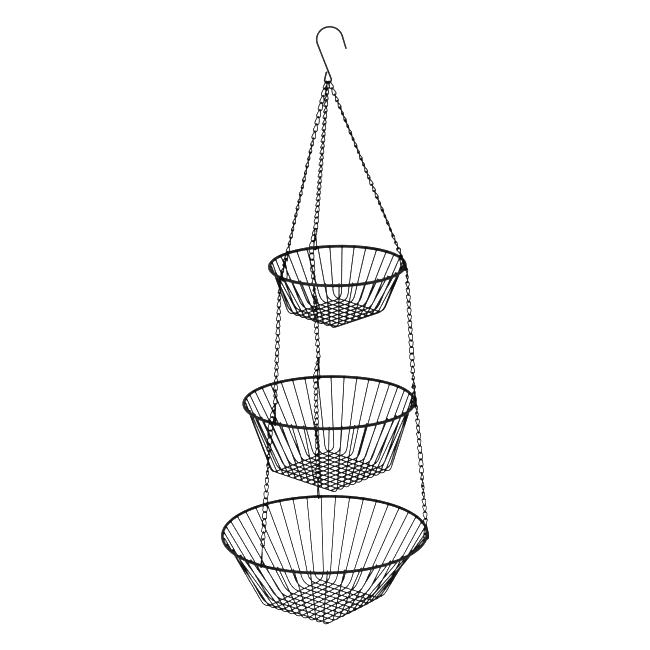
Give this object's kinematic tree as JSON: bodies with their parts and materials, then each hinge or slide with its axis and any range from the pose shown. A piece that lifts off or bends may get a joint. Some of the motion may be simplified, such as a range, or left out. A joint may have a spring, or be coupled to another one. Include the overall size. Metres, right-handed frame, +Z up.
{
  "type": "hanging wire basket",
  "caption": "Hanging wire produce basket: round baskets of growing size one below the other, on chains that gather in an eye under a bent wire hook.",
  "frame": {"origin": "inside top of the hook's large bend, where the hook rests on what holds it", "axes": "+Z up, +X towards the side the hook's tip is on, +Y towards the back chain; the hook's wire lies in the X-Z plane"},
  "size_m": [0.3113, 0.3128, 0.8886],
  "materials": {
    "hook_wire": "black coated wire, low gloss",
    "chain_link": "black coated wire, low gloss",
    "chain_run": "black coated wire, low gloss",
    "clip_wire": "black coated wire, low gloss",
    "rim_wire": "black coated wire, low gloss",
    "basket_wire": "black coated wire, low gloss"
  },
  "bodies": {
    "hook": {"hook": "hook_wire"},
    "first_links": {"first_link_left": "chain_link", "first_link_back": "chain_link", "first_link_right": "chain_link"},
    "second_links": {"second_link_left": "chain_link", "second_link_back": "chain_link", "second_link_right": "chain_link"},
    "top_tier": {"rim_top": "rim_wire", "wires_top": "basket_wire", "chain_top_left": "chain_run", "chain_top_back": "chain_run", "chain_top_right": "chain_run", "held_link_top_left": "chain_link", "held_link_top_back": "chain_link", "held_link_top_right": "chain_link", "chain_tail_top_left": "chain_run", "chain_tail_top_back": "chain_run", "chain_tail_top_right": "chain_run", "clip_top_left": "clip_wire", "clip_top_back": "clip_wire", "clip_top_right": "clip_wire"},
    "turn_middle_left": {"turn_link_middle_left": "chain_link"},
    "run_middle_left": {"chain_middle_left": "chain_run"},
    "turn_middle_back": {"turn_link_middle_back": "chain_link"},
    "run_middle_back": {"chain_middle_back": "chain_run"},
    "turn_middle_right": {"turn_link_middle_right": "chain_link"},
    "run_middle_right": {"chain_middle_right": "chain_run"},
    "held_middle_left": {"held_link_middle_left": "chain_link"},
    "middle_tier": {"rim_middle": "rim_wire", "wires_middle": "basket_wire", "clip_middle_left": "clip_wire", "clip_middle_back": "clip_wire", "clip_middle_right": "clip_wire", "held_link_middle_back": "chain_link", "held_link_middle_right": "chain_link", "chain_tail_middle_left": "chain_run", "chain_tail_middle_back": "chain_run", "chain_tail_middle_right": "chain_run"},
    "turn_bottom_left": {"turn_link_bottom_left": "chain_link"},
    "run_bottom_left": {"chain_bottom_left": "chain_run"},
    "turn_bottom_back": {"turn_link_bottom_back": "chain_link"},
    "run_bottom_back": {"chain_bottom_back": "chain_run"},
    "turn_bottom_right": {"turn_link_bottom_right": "chain_link"},
    "run_bottom_right": {"chain_bottom_right": "chain_run"},
    "held_bottom_left": {"held_link_bottom_left": "chain_link"},
    "bottom_tier": {"rim_bottom": "rim_wire", "wires_bottom": "basket_wire", "clip_bottom_left": "clip_wire", "clip_bottom_back": "clip_wire", "clip_bottom_right": "clip_wire", "held_link_bottom_back": "chain_link", "held_link_bottom_right": "chain_link"}
  },
  "joints": [
    {"name": "swing_sideways", "type": "hinge", "parent": "hook", "child": "first_links", "pos_m": [-0.003, 0, -0.08], "axis": [0, 1, 0], "range_deg": [-10, 10]},
    {"name": "swing_fore_and_aft", "type": "hinge", "parent": "first_links", "child": "second_links", "pos_m": [-0.003, 0, -0.0904], "axis": [1, 0, 0], "range_deg": [-6, 6]},
    {"name": "spin", "type": "hinge", "parent": "second_links", "child": "top_tier", "pos_m": [-0.003, 0, -0.0904], "axis": [0, 0, 1], "range_deg": [-15, 15]},
    {"name": "middle_sway_fore_and_aft_left", "type": "hinge", "parent": "top_tier", "child": "turn_middle_left", "pos_m": [-0.07351, -0.06283, -0.35857], "axis": [1, 0, 0], "range_deg": [-3, 3]},
    {"name": "middle_sway_sideways_left", "type": "hinge", "parent": "turn_middle_left", "child": "run_middle_left", "pos_m": [-0.074, -0.06487, -0.36876], "axis": [0, 1, 0], "range_deg": [-3, 3]},
    {"name": "middle_sway_fore_and_aft_back", "type": "hinge", "parent": "top_tier", "child": "turn_middle_back", "pos_m": [-0.02852, 0.09582, -0.35776], "axis": [1, 0, 0], "range_deg": [-3, 3]},
    {"name": "middle_sway_sideways_back", "type": "hinge", "parent": "turn_middle_back", "child": "run_middle_back", "pos_m": [-0.02799, 0.09752, -0.36801], "axis": [0, 1, 0], "range_deg": [-3, 3]},
    {"name": "middle_sway_fore_and_aft_right", "type": "hinge", "parent": "top_tier", "child": "turn_middle_right", "pos_m": [0.11005, -0.02426, -0.35631], "axis": [1, 0, 0], "range_deg": [-3, 3]},
    {"name": "middle_sway_sideways_right", "type": "hinge", "parent": "turn_middle_right", "child": "run_middle_right", "pos_m": [0.11067, -0.024, -0.36669], "axis": [0, 1, 0], "range_deg": [-3, 3]},
    {"name": "middle_level_sideways", "type": "hinge", "parent": "run_middle_left", "child": "held_middle_left", "pos_m": [-0.08137, -0.096, -0.52465], "axis": [0, 1, 0], "range_deg": [-3, 3]},
    {"name": "middle_level_fore_and_aft", "type": "hinge", "parent": "held_middle_left", "child": "middle_tier", "pos_m": [-0.08193, -0.09835, -0.5364], "axis": [1, 0, 0], "range_deg": [-3, 3]},
    {"name": "bottom_sway_fore_and_aft_left", "type": "hinge", "parent": "middle_tier", "child": "turn_bottom_left", "pos_m": [-0.08857, -0.09955, -0.56673], "axis": [1, 0, 0], "range_deg": [-3, 3]},
    {"name": "bottom_sway_sideways_left", "type": "hinge", "parent": "turn_bottom_left", "child": "run_bottom_left", "pos_m": [-0.08933, -0.10066, -0.57704], "axis": [0, 1, 0], "range_deg": [-3, 3]},
    {"name": "bottom_sway_fore_and_aft_back", "type": "hinge", "parent": "middle_tier", "child": "turn_bottom_back", "pos_m": [-0.02376, 0.1283, -0.57052], "axis": [1, 0, 0], "range_deg": [-3, 3]},
    {"name": "bottom_sway_sideways_back", "type": "hinge", "parent": "turn_bottom_back", "child": "run_bottom_back", "pos_m": [-0.02358, 0.1298, -0.58081], "axis": [0, 1, 0], "range_deg": [-3, 3]},
    {"name": "bottom_sway_fore_and_aft_right", "type": "hinge", "parent": "middle_tier", "child": "turn_bottom_right", "pos_m": [0.12454, -0.02494, -0.56631], "axis": [1, 0, 0], "range_deg": [-3, 3]},
    {"name": "bottom_sway_sideways_right", "type": "hinge", "parent": "turn_bottom_right", "child": "run_bottom_right", "pos_m": [0.12537, -0.02479, -0.57667], "axis": [0, 1, 0], "range_deg": [-3, 3]},
    {"name": "bottom_level_sideways", "type": "hinge", "parent": "run_bottom_left", "child": "held_bottom_left", "pos_m": [-0.10105, -0.11787, -0.73626], "axis": [0, 1, 0], "range_deg": [-3, 3]},
    {"name": "bottom_level_fore_and_aft", "type": "hinge", "parent": "held_bottom_left", "child": "bottom_tier", "pos_m": [-0.10193, -0.11915, -0.74816], "axis": [1, 0, 0], "range_deg": [-3, 3]}
  ],
  "couplings": [
    {"joint": "middle_sway_fore_and_aft_back", "follows": "middle_sway_fore_and_aft_left", "ratio": 1},
    {"joint": "middle_sway_sideways_back", "follows": "middle_sway_sideways_left", "ratio": 1},
    {"joint": "middle_sway_fore_and_aft_right", "follows": "middle_sway_fore_and_aft_left", "ratio": 1},
    {"joint": "middle_sway_sideways_right", "follows": "middle_sway_sideways_left", "ratio": 1},
    {"joint": "middle_level_sideways", "follows": "middle_sway_sideways_left", "ratio": -0.9015},
    {"joint": "middle_level_fore_and_aft", "follows": "middle_sway_fore_and_aft_left", "ratio": -0.6376},
    {"joint": "bottom_sway_fore_and_aft_back", "follows": "bottom_sway_fore_and_aft_left", "ratio": 1},
    {"joint": "bottom_sway_sideways_back", "follows": "bottom_sway_sideways_left", "ratio": 1},
    {"joint": "bottom_sway_fore_and_aft_right", "follows": "bottom_sway_fore_and_aft_left", "ratio": 1},
    {"joint": "bottom_sway_sideways_right", "follows": "bottom_sway_sideways_left", "ratio": 1},
    {"joint": "bottom_level_sideways", "follows": "bottom_sway_sideways_left", "ratio": -0.8689},
    {"joint": "bottom_level_fore_and_aft", "follows": "bottom_sway_fore_and_aft_left", "ratio": -0.8365}
  ]
}
